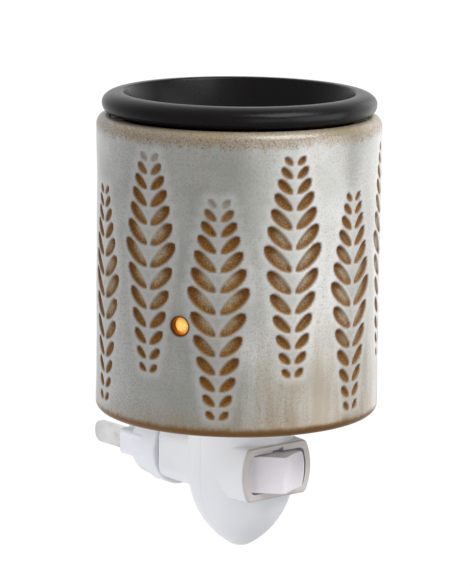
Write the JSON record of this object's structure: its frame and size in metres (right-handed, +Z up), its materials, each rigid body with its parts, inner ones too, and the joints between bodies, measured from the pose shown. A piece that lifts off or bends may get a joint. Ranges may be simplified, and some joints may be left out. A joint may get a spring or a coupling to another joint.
{
  "type": "wax melt warmer",
  "caption": "Plug-in wax melt warmer: a lift-out silicone dish in a glazed stoneware body, on a moulded base with a rocker switch and a swivelling wall plug.",
  "frame": {"origin": "on the plug's swivel axis, in the plane of the wall, midway between the two blades", "axes": "+Y into the wall along the blades, +Z up, the switch faces -Y"},
  "size_m": [0.08, 0.097, 0.1303],
  "materials": {
    "silicone_black": "satin",
    "stoneware": "reactive glaze",
    "pan_aluminium": "drawn",
    "heater_ceramic": "matt",
    "inner_steel": "zinc plated",
    "fuse_case": "satin",
    "collar_plastic": "satin",
    "gasket_rubber": "matt",
    "lamp_lens": "gloss",
    "white_plastic": "satin gloss",
    "rocker_plastic": "gloss",
    "insulator": "matt",
    "contact_brass": "plain",
    "blade_nickel": "nickel plated",
    "lead_white": "matt",
    "lead_black": "matt"
  },
  "bodies": {
    "plug": {"plug_swivel": "white_plastic", "swivel_clip": "inner_steel", "blade_live": "blade_nickel", "blade_neutral": "blade_nickel"},
    "warmer": {"ceramic_body": "stoneware", "heater_pan": "pan_aluminium", "ptc_heater": "heater_ceramic", "heater_clamp": "inner_steel", "clamp_screws": "inner_steel", "thermal_fuse": "fuse_case", "fuse_strap": "inner_steel", "collar": "collar_plastic", "base_gasket": "gasket_rubber", "collar_nut": "collar_plastic", "lamp_bracket": "inner_steel", "indicator_lamp": "lamp_lens", "housing_front": "white_plastic", "housing_rear": "white_plastic", "housing_screws": "inner_steel", "rocker_pins": "inner_steel", "contact_leaf": "contact_brass", "switch_terminals": "contact_brass", "switch_carrier": "insulator", "slip_rings": "contact_brass", "contact_disc": "insulator", "heater_leads": "lead_white", "lamp_leads": "lead_black", "live_lead": "lead_black"},
    "rocker": {"switch_rocker": "rocker_plastic"},
    "dish": {"wax_dish": "silicone_black"}
  },
  "joints": [
    {"name": "plug_swivel_turn", "type": "hinge", "parent": "plug", "child": "warmer", "pos_m": [0, -0.0173, 0], "axis": [0, 1, 0], "range_deg": [-90, 90]},
    {"name": "rocker_tilt", "type": "hinge", "parent": "warmer", "child": "rocker", "pos_m": [0, -0.056, 0.0012], "axis": [0, 0, 1], "range_deg": [0, 22]},
    {"name": "dish_lift", "type": "slide", "parent": "warmer", "child": "dish", "axis": [0, 0, 1], "range_m": [0, 0.05]}
  ]
}
